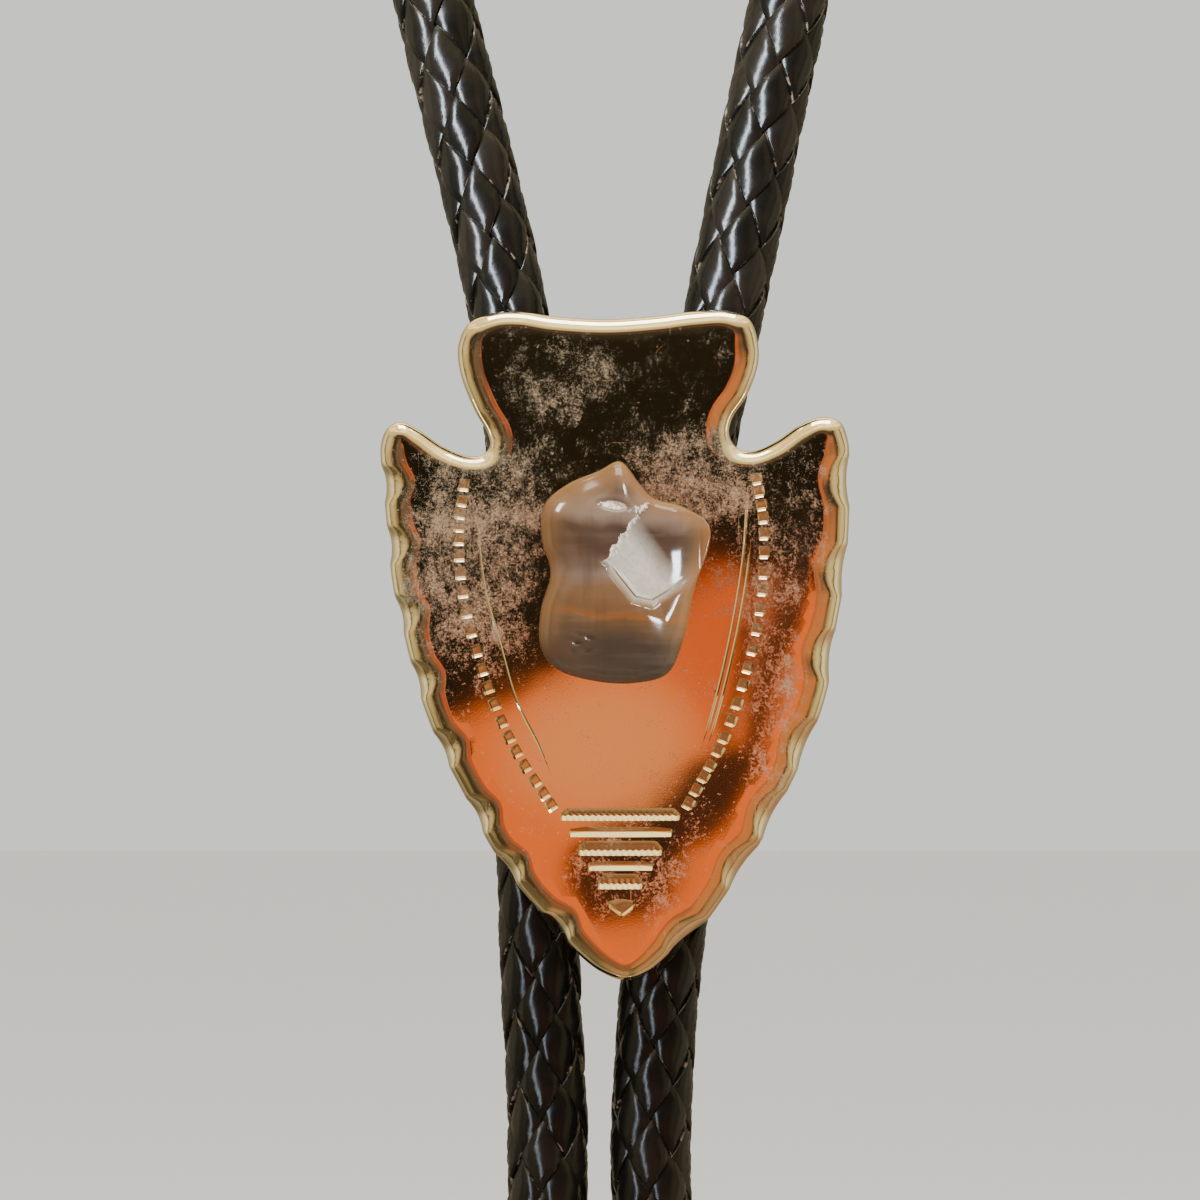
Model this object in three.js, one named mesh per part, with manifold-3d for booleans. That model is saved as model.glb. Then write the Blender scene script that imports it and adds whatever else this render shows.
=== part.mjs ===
// A bolo tie: a stamped arrowhead slide with an agate chip, on a braided cord worn round the neck.
// Millimetres, +Z up, the slide faces -Y, and the origin is where the nape carries the loop of cord.
import * as THREE from "three";
import { mergeVertices } from "three/addons/utils/BufferGeometryUtils.js";
import Module from "manifold-3d";

const wasm = await Module();
wasm.setup();

// The slide: a sheet stamped into an arrowhead, hollow behind
const slideWidth = 36;
const slideHeight = 51.4;
const slideDepth = 2.2;
const sheetThickness = 0.9;
const rimRoll = 1.0;
const rollSteps = 4;
const outlineSteps = 190;

// The flake scars that notch the two long edges
const scarRadius = 2.4;
const scarBite = 0.5;
const scarWave = 0.22;
const scarWidth = 2.2;

// The stamped ornament: two rows of punched squares, five bars and a triangle
const punchCount = 21;
const punchWidth = 0.85;
const punchLength = 0.9;
const stampDepth = 0.3;
const barCount = 5;
const topBarLength = 9.2;
const barShortening = 1.45;
const barPitch = 1.29;
const serratedBarHeight = 1.0;
const plainBarHeight = 0.7;
const triangleSide = 1.6;

// The agate chip
const stoneWidth = 13.1;
const stoneHeight = 16.9;
const stoneThickness = 4.6;
const stoneEdge = 1.6;
const stoneSides = 38;
const stoneRings = [1, 0.93, 0.8, 0.6, 0.35, 0.1];

// The cord, its clip and its tips
const cordDiameter = 6.3;
const clearance = 0.3;
const channelClearance = 0.35;
const clipWidth = 23;
const clipHeight = 14;
const clipWall = 0.9;
const channelMouth = 1.3;
const tipLength = 28;
const tipWall = 0.5;
const tipSocket = 8;
const tipEndRadius = 1.5;

const cordRadius = cordDiameter / 2;
const cordSides = 10;

// The slide's outline from the middle of the top edge round each side to the point, in shares of
// slideWidth to the right and slideHeight up, from the slide's middle
const leftEdge = [
  { across: -0.02, up: 0.488 }, { across: -0.138, up: 0.493 }, { across: -0.202, up: 0.5 },
  { across: -0.26, up: 0.498 }, { across: -0.313, up: 0.481 }, { across: -0.334, up: 0.45 },
  { across: -0.33, up: 0.408 }, { across: -0.298, up: 0.35 }, { across: -0.272, up: 0.318 },
  { across: -0.267, up: 0.299 }, { across: -0.283, up: 0.2855 }, { across: -0.318, up: 0.284 },
  { across: -0.37, up: 0.299 }, { across: -0.42, up: 0.323 }, { across: -0.458, up: 0.335 },
  { across: -0.487, up: 0.324 }, { across: -0.5, up: 0.298 }, { across: -0.495, up: 0.245 },
  { across: -0.487, up: 0.18 }, { across: -0.474, up: 0.09 }, { across: -0.448, up: 0.01 },
  { across: -0.418, up: -0.07 }, { across: -0.375, up: -0.15 }, { across: -0.32, up: -0.225 },
  { across: -0.265, up: -0.3 }, { across: -0.2, up: -0.365 }, { across: -0.14, up: -0.412 },
  { across: -0.085, up: -0.456 }, { across: -0.03, up: -0.487 },
];
const rightEdge = [
  { across: 0.09, up: 0.493 }, { across: 0.17, up: 0.5 }, { across: 0.245, up: 0.501 },
  { across: 0.287, up: 0.488 }, { across: 0.305, up: 0.455 }, { across: 0.305, up: 0.42 },
  { across: 0.28, up: 0.372 }, { across: 0.25, up: 0.34 }, { across: 0.244, up: 0.315 },
  { across: 0.262, up: 0.295 }, { across: 0.295, up: 0.291 }, { across: 0.345, up: 0.306 },
  { across: 0.395, up: 0.33 }, { across: 0.44, up: 0.342 }, { across: 0.48, up: 0.335 },
  { across: 0.497, up: 0.308 }, { across: 0.501, up: 0.25 }, { across: 0.499, up: 0.18 },
  { across: 0.49, up: 0.1 }, { across: 0.47, up: 0.02 }, { across: 0.455, up: -0.06 },
  { across: 0.415, up: -0.145 }, { across: 0.362, up: -0.225 }, { across: 0.305, up: -0.3 },
  { across: 0.243, up: -0.365 }, { across: 0.185, up: -0.42 }, { across: 0.125, up: -0.455 },
  { across: 0.07, up: -0.488 },
];
const point = { across: 0.024, up: -0.5 };

// Heights of the flake scars and of the ears' foot, in shares of slideHeight up from the slide's middle
const earsStart = 0.28;
const leftScars = [0.24, 0.15, 0.046, -0.05, -0.155, -0.256, -0.334, -0.423];
const rightScars = [0.247, 0.113, -0.013, -0.148, -0.252, -0.334, -0.438];

// The two rows of punched squares, from top to bottom, in the same shares
const leftRow = [
  { across: -0.322, up: 0.24 }, { across: -0.332, up: 0.17 }, { across: -0.326, up: 0.09 },
  { across: -0.306, up: 0.02 }, { across: -0.27, up: -0.063 }, { across: -0.21, up: -0.158 },
  { across: -0.136, up: -0.237 },
];
const rightRow = [
  { across: 0.302, up: 0.249 }, { across: 0.316, up: 0.19 }, { across: 0.316, up: 0.1 },
  { across: 0.302, up: 0.024 }, { across: 0.276, up: -0.05 }, { across: 0.233, up: -0.137 },
  { across: 0.157, up: -0.235 },
];
const barsPlace = { across: 0.012, up: -0.251 };

// The chip's outline clockwise from its peak, in shares of stoneWidth and stoneHeight from its middle
const stonePlace = { across: 0.023, up: 0.11 };
const stoneOutline = [
  { across: -0.035, up: 0.5 }, { across: 0.08, up: 0.4 }, { across: 0.16, up: 0.335 },
  { across: 0.335, up: 0.295 }, { across: 0.485, up: 0.21 }, { across: 0.48, up: 0.11 },
  { across: 0.405, up: -0.06 }, { across: 0.335, up: -0.31 }, { across: 0.245, up: -0.457 },
  { across: 0.065, up: -0.5 }, { across: -0.175, up: -0.493 }, { across: -0.41, up: -0.434 },
  { across: -0.497, up: -0.335 }, { across: -0.497, up: -0.175 }, { across: -0.44, up: 0 },
  { across: -0.49, up: 0.15 }, { across: -0.475, up: 0.305 }, { across: -0.345, up: 0.395 },
  { across: -0.16, up: 0.457 },
];
// Three corners of the fracture facet on the dome, as a turn from straight up and a share of the way out
const turnSteps = 360;
const facetCorners = [
  { turn: 17, out: 0.78 }, { turn: -65, out: 0.25 }, { turn: 142, out: 0.62 },
];

// The cord's route in the tie's frame: up the left of the V, round the neck and down the right
const neckRoute = [
  [-6.4, -140, -269.85], [-6.4, -140, -262.5], [-6.9, -140, -255], [-8.4, -140, -243.5],
  [-13.9, -139.5, -220.5], [-21.2, -137.5, -190], [-30.5, -133, -152], [-39.5, -126, -115],
  [-47.5, -116.5, -82], [-54, -104, -53], [-58, -88, -31], [-59.5, -69, -17],
  [-58, -48, -9], [-51.5, -27, -4.5], [-38, -9.5, -2], [-20, 0.5, -0.5],
  [0, 3.2, 0],
  [20, 0.5, -0.5], [38, -9.5, -2], [51.5, -27, -4.5], [58, -48, -9],
  [59.5, -69, -17], [58, -88, -31], [54, -104, -53], [47.2, -116.5, -82],
  [38.8, -126, -115], [29.2, -133, -152], [19.9, -137.5, -190], [13.4, -139.5, -220.5],
  [8.6, -140, -243.5], [6.3, -140, -255], [5.7, -140, -262.5], [5.7, -140, -269.85],
];
const leftTailRoute = [
  [-6.4, -140, -270.15], [-6.4, -140, -277.5], [-6.15, -140, -285], [-5.7, -140, -297.3],
  [-5.2, -140, -308], [-5.3, -140, -314], [-5.8, -140, -320.5], [-5.9, -140, -328],
];
const rightTailRoute = [
  [5.7, -140, -270.15], [5.7, -140, -277.5], [4.9, -140, -285], [3.4, -140, -297.3],
  [2.8, -140, -308], [2.9, -140, -314], [3.5, -140, -320.5], [3.6, -140, -328],
];
const neckSteps = 60;
const tailSteps = 8;

const materials = {
  gold: new THREE.MeshStandardMaterial({ color: 0xd9b27c, roughness: 0.18, metalness: 1 }),
  agate: new THREE.MeshStandardMaterial({ color: 0x8f7469, roughness: 0.12, metalness: 0 }),
  steel: new THREE.MeshStandardMaterial({ color: 0xb9b2a4, roughness: 0.35, metalness: 1 }),
  braid: new THREE.MeshStandardMaterial({ color: 0x14110f, roughness: 0.3, metalness: 0 }),
};

// A closed geometry as a solid that can be cut and joined
function solidOf(geometry) {
  geometry.deleteAttribute("normal");
  geometry.deleteAttribute("uv");
  const merged = mergeVertices(geometry);
  const vertProperties = new Float32Array(merged.attributes.position.array);
  const triVerts = new Uint32Array(merged.index.array);
  return new wasm.Manifold(new wasm.Mesh({ numProp: 3, vertProperties, triVerts }));
}

function meshOf(solid, name, material) {
  const { vertProperties, triVerts } = solid.getMesh();
  const geometry = new THREE.BufferGeometry();
  geometry.setAttribute("position", new THREE.BufferAttribute(vertProperties, 3));
  geometry.setIndex(new THREE.BufferAttribute(triVerts, 1));
  geometry.computeVertexNormals();
  return named(geometry, name, material);
}

function named(geometry, name, material) {
  const mesh = new THREE.Mesh(geometry, material);
  mesh.name = name;
  return mesh;
}

// A place on the slide's face from its shares
function onSlide({ across, up }) {
  return new THREE.Vector2(across * slideWidth, up * slideHeight);
}

// The points of a plane loop moved inwards by a distance, along each corner's bisector
function inset(points, distance) {
  return points.map((corner, i) => {
    const before = points[(i + points.length - 1) % points.length];
    const after = points[(i + 1) % points.length];
    const along = after.clone().sub(before).normalize();
    return new THREE.Vector2(corner.x - along.y * distance, corner.y + along.x * distance);
  });
}

// A solid between plane loops of as many points each, at rising heights, closed at both ends
function lofted(loops, heights) {
  const count = loops[0].length;
  const positions = loops.flatMap((loop, k) => loop.flatMap(({ x, y }) => [x, y, heights[k]]));
  const index = [];
  for (let k = 0; k + 1 < loops.length; k++) {
    for (let i = 0; i < count; i++) {
      const j = (i + 1) % count;
      const [a, b] = [k * count + i, k * count + j];
      index.push(a, b, b + count, a, b + count, a + count);
    }
  }
  const last = (loops.length - 1) * count;
  for (const [a, b, c] of THREE.ShapeUtils.triangulateShape(loops[0], [])) index.push(c, b, a);
  for (const [a, b, c] of THREE.ShapeUtils.triangulateShape(loops.at(-1), [])) {
    index.push(last + a, last + b, last + c);
  }
  const geometry = new THREE.BufferGeometry();
  geometry.setAttribute("position", new THREE.Float32BufferAttribute(positions, 3));
  geometry.setIndex(index);
  return geometry;
}

// The slide's outline, counter-clockwise seen from the front
function slideOutline() {
  const chosen = [...leftEdge, point, ...rightEdge.toReversed()].map(onSlide);
  const bends = chosen.map(({ x, y }) => new THREE.Vector3(x, y, 0));
  const curve = new THREE.CatmullRomCurve3(bends, true, "centripetal");
  return curve.getSpacedPoints(outlineSteps).slice(0, -1).map(({ x, y }) => new THREE.Vector2(x, y));
}

// The outline's point on one side at a height, below the ears
function edgeAt(outline, side, up) {
  const onSide = outline.filter((p) => p.x * side > 0 && p.y < earsStart * slideHeight);
  const gap = (p) => Math.abs(p.y - up * slideHeight);
  return onSide.reduce((best, p) => (gap(p) < gap(best) ? p : best));
}

// The places of the flake scars, on the unnotched outline
function scarPlaces(outline) {
  const onLeft = leftScars.map((up) => edgeAt(outline, -1, up));
  const onRight = rightScars.map((up) => edgeAt(outline, 1, up));
  return [...onLeft, ...onRight];
}

// The outline with a shallow wave inwards at each flake scar
function notched(outline, scars) {
  const inner = inset(outline, 1);
  return outline.map((p, i) => {
    const near = Math.min(...scars.map((scar) => scar.distanceTo(p)));
    const bite = near < scarWidth / 2 ? scarWave * Math.cos((Math.PI * near) / scarWidth) : 0;
    return p.clone().lerp(inner[i], bite);
  });
}

// The sheet with its rolled rim: loops that draw in on a quarter circle towards the face
function slideBlank(outline) {
  const loops = [outline];
  const heights = [0];
  for (let k = 0; k <= rollSteps; k++) {
    const turn = (k / rollSteps) * (Math.PI / 2);
    loops.push(inset(outline, rimRoll * (1 - Math.cos(turn))));
    heights.push(slideDepth - rimRoll * (1 - Math.sin(turn)));
  }
  return solidOf(lofted(loops, heights));
}

// A punch that dents the face by stampDepth, at a place and a turn
function punch(width, length, place, turn) {
  const block = new THREE.BoxGeometry(width, length, 2 * stampDepth);
  block.rotateZ(turn);
  block.translate(place.x, place.y, slideDepth);
  return solidOf(block);
}

function punchedRow(row) {
  const bends = row.map(onSlide).map(({ x, y }) => new THREE.Vector3(x, y, 0));
  const curve = new THREE.CatmullRomCurve3(bends, false, "centripetal");
  const punches = [];
  for (let k = 0; k < punchCount; k++) {
    const share = k / (punchCount - 1);
    const along = curve.getTangentAt(share);
    const turn = Math.atan2(along.y, along.x) + Math.PI / 2;
    punches.push(punch(punchWidth, punchLength, curve.getPointAt(share), turn));
  }
  return punches;
}

function stampedBars() {
  const top = onSlide(barsPlace);
  const bars = [];
  for (let k = 0; k < barCount; k++) {
    const height = k % 2 === 0 ? serratedBarHeight : plainBarHeight;
    const place = new THREE.Vector2(top.x, top.y - k * barPitch);
    bars.push(punch(topBarLength - k * barShortening, height, place, 0));
  }
  const triangle = new THREE.CylinderGeometry(triangleSide / 2, triangleSide / 2, 2 * stampDepth, 3);
  triangle.rotateX(Math.PI / 2);
  triangle.translate(top.x, top.y - barCount * barPitch, slideDepth);
  return [...bars, solidOf(triangle)];
}

// A scoop with the ball's centre above and outside the rim
function flakeScar(scar, outline) {
  const at = outline.indexOf(scar);
  const inwards = inset(outline, 1)[at].sub(scar);
  const ball = new THREE.SphereGeometry(scarRadius, 12, 8);
  const away = (scarRadius - scarBite) * Math.SQRT1_2;
  const cornerOut = rimRoll * (1 - Math.SQRT1_2);
  const out = away - cornerOut;
  ball.translate(scar.x - inwards.x * out, scar.y - inwards.y * out, slideDepth - cornerOut + away);
  return solidOf(ball);
}

function buildSlide() {
  const outline = slideOutline();
  const scars = scarPlaces(outline);
  const edge = notched(outline, scars);
  const hollow = inset(edge, sheetThickness);
  const tools = [
    solidOf(lofted([hollow, hollow], [-sheetThickness, slideDepth - sheetThickness])),
    ...scars.map((scar) => flakeScar(scar, outline)),
    ...punchedRow(leftRow),
    ...punchedRow(rightRow),
    ...stampedBars(),
  ];
  const slide = tools.reduce((body, tool) => body.subtract(tool), slideBlank(edge));
  return meshOf(slide, "slide", materials.gold);
}

// The chip's surface at a turn clockwise from straight up, a share of the way out to its edge
function stoneSurface(curve, share, out) {
  const rim = curve.getPointAt(share);
  const rise = stoneEdge + (stoneThickness - stoneEdge) * Math.sqrt(1 - out ** 3);
  return new THREE.Vector3(rim.x * out, rim.y * out, rise);
}

// The share along the chip's outline that lies at a turn from straight up
function shareAtTurn(curve, degrees) {
  const turn = THREE.MathUtils.degToRad(degrees);
  const wanted = new THREE.Vector3(Math.sin(turn), Math.cos(turn), 0);
  const shares = Array.from({ length: turnSteps }, (_, k) => k / turnSteps);
  const gap = (share) => curve.getPointAt(share).angleTo(wanted);
  return shares.reduce((best, share) => (gap(share) < gap(best) ? share : best));
}

function buildStone() {
  const chosen = stoneOutline.map(({ across, up }) => {
    return new THREE.Vector3(across * stoneWidth, up * stoneHeight, 0);
  });
  const curve = new THREE.CatmullRomCurve3(chosen.toReversed(), true, "centripetal");
  const loopAt = (out) => {
    return Array.from({ length: stoneSides }, (_, i) => stoneSurface(curve, i / stoneSides, out));
  };
  const loops = [loopAt(1), ...stoneRings.map(loopAt)];
  const heights = [0, ...stoneRings.map((out) => stoneSurface(curve, 0, out).z)];
  const dome = solidOf(lofted(loops, heights));
  const [a, b, c] = facetCorners.map(({ turn, out }) => {
    return stoneSurface(curve, shareAtTurn(curve, turn), out);
  });
  const normal = b.clone().sub(a).cross(c.clone().sub(a)).normalize();
  const cutter = new THREE.BoxGeometry(2 * stoneWidth, 2 * stoneHeight, stoneThickness);
  cutter.translate(0, 0, stoneThickness / 2);
  cutter.applyQuaternion(new THREE.Quaternion().setFromUnitVectors(new THREE.Vector3(0, 0, 1), normal));
  cutter.translate(a.x, a.y, a.z);
  const stone = meshOf(dome.subtract(solidOf(cutter)), "stone", materials.agate);
  const { x, y } = onSlide(stonePlace);
  stone.position.set(x, y, slideDepth + clearance);
  return stone;
}

// The clip fills the slide's hollow up to the channels, whose cords just clear the slide's back edge
const clipFront = slideDepth - sheetThickness - clearance;
const channelRadius = cordRadius + channelClearance;
const channelDepth = -(cordRadius + clearance);
const clipBack = channelDepth + channelRadius;
const [leftCordX, cordY, tailTopZ] = leftTailRoute[0];
const rightCordX = rightTailRoute[0][0];
const clipX = (leftCordX + rightCordX) / 2;
const clipZ = (tailTopZ + neckRoute[0][2]) / 2;
const channelSpacing = rightCordX - leftCordX;

function buildClip() {
  const plate = new THREE.BoxGeometry(clipWidth, clipHeight, clipFront - clipBack);
  plate.translate(0, 0, (clipFront + clipBack) / 2);
  const channel = (side) => {
    const profile = new THREE.Shape();
    const [from, to] = [channelMouth / 2 - Math.PI / 2, (3 * Math.PI) / 2 - channelMouth / 2];
    profile.absarc(0, 0, channelRadius + clipWall, from, to, false);
    profile.absarc(0, 0, channelRadius, to, from, true);
    const options = { depth: clipHeight, bevelEnabled: false, curveSegments: 20 };
    const tube = new THREE.ExtrudeGeometry(profile, options);
    tube.rotateX(Math.PI / 2);
    tube.translate((side * channelSpacing) / 2, clipHeight / 2, channelDepth);
    return solidOf(tube);
  };
  const bores = [-1, 1].map((side) => {
    const bore = new THREE.CylinderGeometry(channelRadius, channelRadius, 2 * clipHeight, 40);
    bore.translate((side * channelSpacing) / 2, 0, channelDepth);
    return solidOf(bore);
  });
  const joined = solidOf(plate).add(channel(-1)).add(channel(1));
  const clip = meshOf(joined.subtract(bores[0]).subtract(bores[1]), "cord_clip", materials.steel);
  clip.position.x = clipX;
  return clip;
}

// A round cord along chosen points
function buildCord(name, route, steps) {
  const section = new THREE.Shape(Array.from({ length: cordSides }, (_, i) => {
    const turn = (i / cordSides) * 2 * Math.PI;
    return new THREE.Vector2(cordRadius * Math.cos(turn), cordRadius * Math.sin(turn));
  }));
  const points = route.map((p) => new THREE.Vector3(...p));
  const extrudePath = new THREE.CatmullRomCurve3(points, false, "centripetal");
  return named(new THREE.ExtrudeGeometry(section, { extrudePath, steps }), name, materials.braid);
}

// A turned metal tip with a socket for the cord's end, tapering to a rounded nose
function buildTip(name, route) {
  const [x, y, z] = route.at(-1);
  const bore = cordRadius + clearance;
  const shoulder = bore + tipWall;
  const noseZ = tipEndRadius - tipLength;
  const nose = new THREE.EllipseCurve(0, noseZ, tipEndRadius, tipEndRadius, 0, -Math.PI / 2, true);
  const profile = [
    new THREE.Vector2(0, -tipSocket),
    new THREE.Vector2(bore, -tipSocket),
    new THREE.Vector2(bore, 0),
    new THREE.Vector2(shoulder, 0),
    new THREE.Vector2(shoulder, -tipSocket),
    ...nose.getPoints(4).slice(0, -1),
    new THREE.Vector2(0, -tipLength),
  ];
  const turned = new THREE.LatheGeometry(profile.toReversed(), 16);
  turned.rotateX(Math.PI / 2);
  const tip = named(turned, name, materials.gold);
  tip.position.set(x, y, z - clearance + tipSocket);
  return tip;
}

const front = new THREE.Group();
front.add(buildSlide(), buildStone(), buildClip());
front.rotation.x = Math.PI / 2;
front.position.set(0, cordY + channelDepth, clipZ);

const tie = new THREE.Group();
tie.add(front);
tie.add(buildCord("neck_cord", neckRoute, neckSteps));
tie.add(buildCord("tail_left", leftTailRoute, tailSteps));
tie.add(buildCord("tail_right", rightTailRoute, tailSteps));
tie.add(buildTip("tip_left", leftTailRoute));
tie.add(buildTip("tip_right", rightTailRoute));

export default tie;
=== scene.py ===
"""A bolo tie: a stamped arrowhead slide with an agate chip, hanging on a braided black cord.

Sizes are in millimetres and are turned into metres where a mesh is made. The slide is worked out in
its own plane, with x to the right, y up and z out of its face, and is hung upright at the end.
"""

import math

import bpy
import numpy as np
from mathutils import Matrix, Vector
from mathutils.geometry import delaunay_2d_cdt


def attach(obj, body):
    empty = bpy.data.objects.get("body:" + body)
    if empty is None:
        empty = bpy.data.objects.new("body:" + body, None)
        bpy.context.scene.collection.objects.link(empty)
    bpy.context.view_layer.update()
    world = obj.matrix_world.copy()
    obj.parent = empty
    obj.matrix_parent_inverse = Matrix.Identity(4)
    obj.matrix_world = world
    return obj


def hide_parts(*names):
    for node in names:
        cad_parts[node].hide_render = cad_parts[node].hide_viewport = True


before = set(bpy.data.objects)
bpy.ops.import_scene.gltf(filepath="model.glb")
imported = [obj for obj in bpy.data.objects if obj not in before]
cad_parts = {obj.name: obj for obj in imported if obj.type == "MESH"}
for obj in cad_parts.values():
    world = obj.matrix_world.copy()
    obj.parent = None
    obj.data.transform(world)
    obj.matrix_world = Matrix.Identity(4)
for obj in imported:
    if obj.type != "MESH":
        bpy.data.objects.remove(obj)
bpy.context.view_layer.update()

# The camera looks level at the slide's face. The photograph's middle lies a little left of the
# slide's middle and above it, and its frame is 1200 pixels wide.
mm_per_pixel = 0.0766
photo_pixels = 1200
slide_pixel = (615, 646)
slide_centre = (0.0, -145.6, -270.0)
camera_distance = 450.0
sensor_width = 36.0

aim_x = slide_centre[0] + (photo_pixels / 2 - slide_pixel[0]) * mm_per_pixel
aim_z = slide_centre[2] + (slide_pixel[1] - photo_pixels / 2) * mm_per_pixel
lens = bpy.data.cameras.new("camera")
lens.sensor_width = sensor_width
lens.lens = sensor_width * camera_distance / (photo_pixels * mm_per_pixel)
lens.clip_start = 0.01
camera = bpy.data.objects.new("camera", lens)
camera.location = (aim_x / 1000, (slide_centre[1] - camera_distance) / 1000, aim_z / 1000)
camera.rotation_euler = (math.radians(90), 0, 0)
bpy.context.collection.objects.link(camera)
bpy.context.scene.camera = camera


# The cord: ten flat strands of glossy black lace, five wound each way and plaited one over one round
# a plain core. It runs from the clip up the left of the V, round the neck and down to the clip.
strands_each_way = 5
braid_pitch = 28.1
strand_centre = 2.55
strand_wave = 0.29
wave_squareness = 1.5
core_radius = 2.0
core_sides = 8
core_stride = 4
braid_step = 0.5
fine_steps = 60
neck_pieces = ("neck_cord_left", "neck_cord_nape", "neck_cord_right")
neck_middle = (0.0, -70.0)
braid_turn = 0.08
diamond_heights = (-230.55, -233.3)

# A strand's section: the share of its own fifth of the way round, the height from its middle, and 1
# on the cut edges
strand_section = np.array([
    (-0.482, -0.06, 1), (-0.476, 0.20, 1), (-0.45, 0.285, 0), (-0.25, 0.32, 0), (0.0, 0.335, 0),
    (0.25, 0.32, 0), (0.45, 0.285, 0), (0.476, 0.20, 1), (0.482, -0.06, 1),
    (0.43, -0.28, 0), (0.15, -0.30, 0), (-0.15, -0.30, 0), (-0.43, -0.28, 0),
])

neck_route = [
    (-6.4, -140, -269.85), (-6.4, -140, -262.5), (-6.9, -140, -255), (-8.4, -140, -243.5),
    (-13.9, -139.5, -220.5), (-21.2, -137.5, -190), (-30.5, -133, -152), (-39.5, -126, -115),
    (-47.5, -116.5, -82), (-54, -104, -53), (-58, -88, -31), (-59.5, -69, -17),
    (-58, -48, -9), (-51.5, -27, -4.5), (-38, -9.5, -2), (-20, 0.5, -0.5),
    (0, 3.2, 0),
    (20, 0.5, -0.5), (38, -9.5, -2), (51.5, -27, -4.5), (58, -48, -9),
    (59.5, -69, -17), (58, -88, -31), (54, -104, -53), (47.2, -116.5, -82),
    (38.8, -126, -115), (29.2, -133, -152), (19.9, -137.5, -190), (13.4, -139.5, -220.5),
    (8.6, -140, -243.5), (6.3, -140, -255), (5.7, -140, -262.5), (5.7, -140, -269.85),
]
left_tail_route = [
    (-6.4, -140, -270.15), (-6.4, -140, -277.5), (-6.15, -140, -285), (-5.7, -140, -297.3),
    (-5.2, -140, -308), (-5.3, -140, -314), (-5.8, -140, -320.5), (-5.9, -140, -328),
]
right_tail_route = [
    (5.7, -140, -270.15), (5.7, -140, -277.5), (4.9, -140, -285), (3.4, -140, -297.3),
    (2.8, -140, -308), (2.9, -140, -314), (3.5, -140, -320.5), (3.6, -140, -328),
]


def smooth_curve(chosen, step=None, count=None, closed=False):
    """A centripetal Catmull-Rom curve through the chosen points, cut evenly along its length.

    Between two points b and c, with a before and d after, the knots lie the square root of each gap
    apart, and a cubic with the two matching slopes joins b to c.
    """
    points = np.asarray(chosen, float)
    if closed:
        a, b, c, d = (np.roll(points, shift, 0) for shift in (1, 0, -1, -2))
    else:
        whole = np.vstack([2 * points[0] - points[1], points, 2 * points[-1] - points[-2]])
        a, b, c, d = whole[:-3], whole[1:-2], whole[2:-1], whole[3:]
    gap = [np.sqrt(np.linalg.norm(q - p, axis=1))[:, None] for p, q in ((a, b), (b, c), (c, d))]
    start = ((b - a) / gap[0] - (c - a) / (gap[0] + gap[1]) + (c - b) / gap[1]) * gap[1]
    end = ((c - b) / gap[1] - (d - b) / (gap[1] + gap[2]) + (d - c) / gap[2]) * gap[1]
    t = np.linspace(0, 1, fine_steps, endpoint=False)[None, :, None]
    b, c, start, end = b[:, None], c[:, None], start[:, None], end[:, None]
    fine = (
        (2 * t**3 - 3 * t**2 + 1) * b + (t**3 - 2 * t**2 + t) * start
        + (3 * t**2 - 2 * t**3) * c + (t**3 - t**2) * end
    ).reshape(-1, points.shape[1])
    fine = np.vstack([fine, points[0] if closed else points[-1]])
    run = np.concatenate([[0], np.cumsum(np.linalg.norm(np.diff(fine, axis=0), axis=1))])
    if count is None:
        count = int(round(run[-1] / step)) + 1
    wanted = np.linspace(0, run[-1], count, endpoint=not closed)
    return np.stack([np.interp(wanted, run, fine[:, k]) for k in range(points.shape[1])], axis=1)


def grid_quads(rows, columns, first=0):
    """The quads of a grid whose rows are loops, as indices row * columns + column."""
    row, column = np.meshgrid(np.arange(rows - 1), np.arange(columns), indexing="ij")
    after = (column + 1) % columns
    corners = [row * columns + column, row * columns + after]
    corners += [corners[1] + columns, corners[0] + columns]
    return first + np.stack(corners, axis=-1).reshape(-1, 4)


def end_caps(first, rows, sides):
    """The two flat ends of a grid of loops, wound to face away from each other."""
    ring = first + np.arange(sides)
    return [ring[::-1], ring + (rows - 1) * sides]


def skin(name, points, quads, caps=(), triangles=None, sharp=None):
    """A mesh object from points in millimetres, quads, triangles and end caps. It is turned round
    where the quads enclose a volume below 0. Edges sharper than the angle given stay hard."""
    if triangles is None:
        triangles = np.zeros((0, 3), int)
    points = np.asarray(points, float) / 1000
    p0, p1, p2, p3 = (points[quads[:, k]] for k in range(4))
    volume = np.einsum("ij,ij->", p0, np.cross(p1, p2)) + np.einsum("ij,ij->", p0, np.cross(p2, p3))
    if volume < 0:
        quads, triangles = quads[:, ::-1], triangles[:, ::-1]
        caps = [np.asarray(cap)[::-1] for cap in caps]
    mesh = bpy.data.meshes.new(name)
    corners = np.concatenate([quads.ravel(), triangles.ravel(), *caps]).astype(np.int32)
    sizes = np.array([4] * len(quads) + [3] * len(triangles) + [len(cap) for cap in caps])
    starts = np.concatenate([[0], np.cumsum(sizes)[:-1]]).astype(np.int32)
    mesh.vertices.add(len(points))
    mesh.vertices.foreach_set("co", points.astype(np.float32).ravel())
    mesh.loops.add(len(corners))
    mesh.loops.foreach_set("vertex_index", corners)
    mesh.polygons.add(len(sizes))
    mesh.polygons.foreach_set("loop_start", starts)
    mesh.polygons.foreach_set("use_smooth", np.ones(len(sizes), bool))
    mesh.update(calc_edges=True)
    mesh.validate()
    if sharp is not None:
        mesh.set_sharp_from_angle(angle=math.radians(sharp))
    piece = bpy.data.objects.new(name, mesh)
    bpy.context.collection.objects.link(piece)
    return piece


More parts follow.
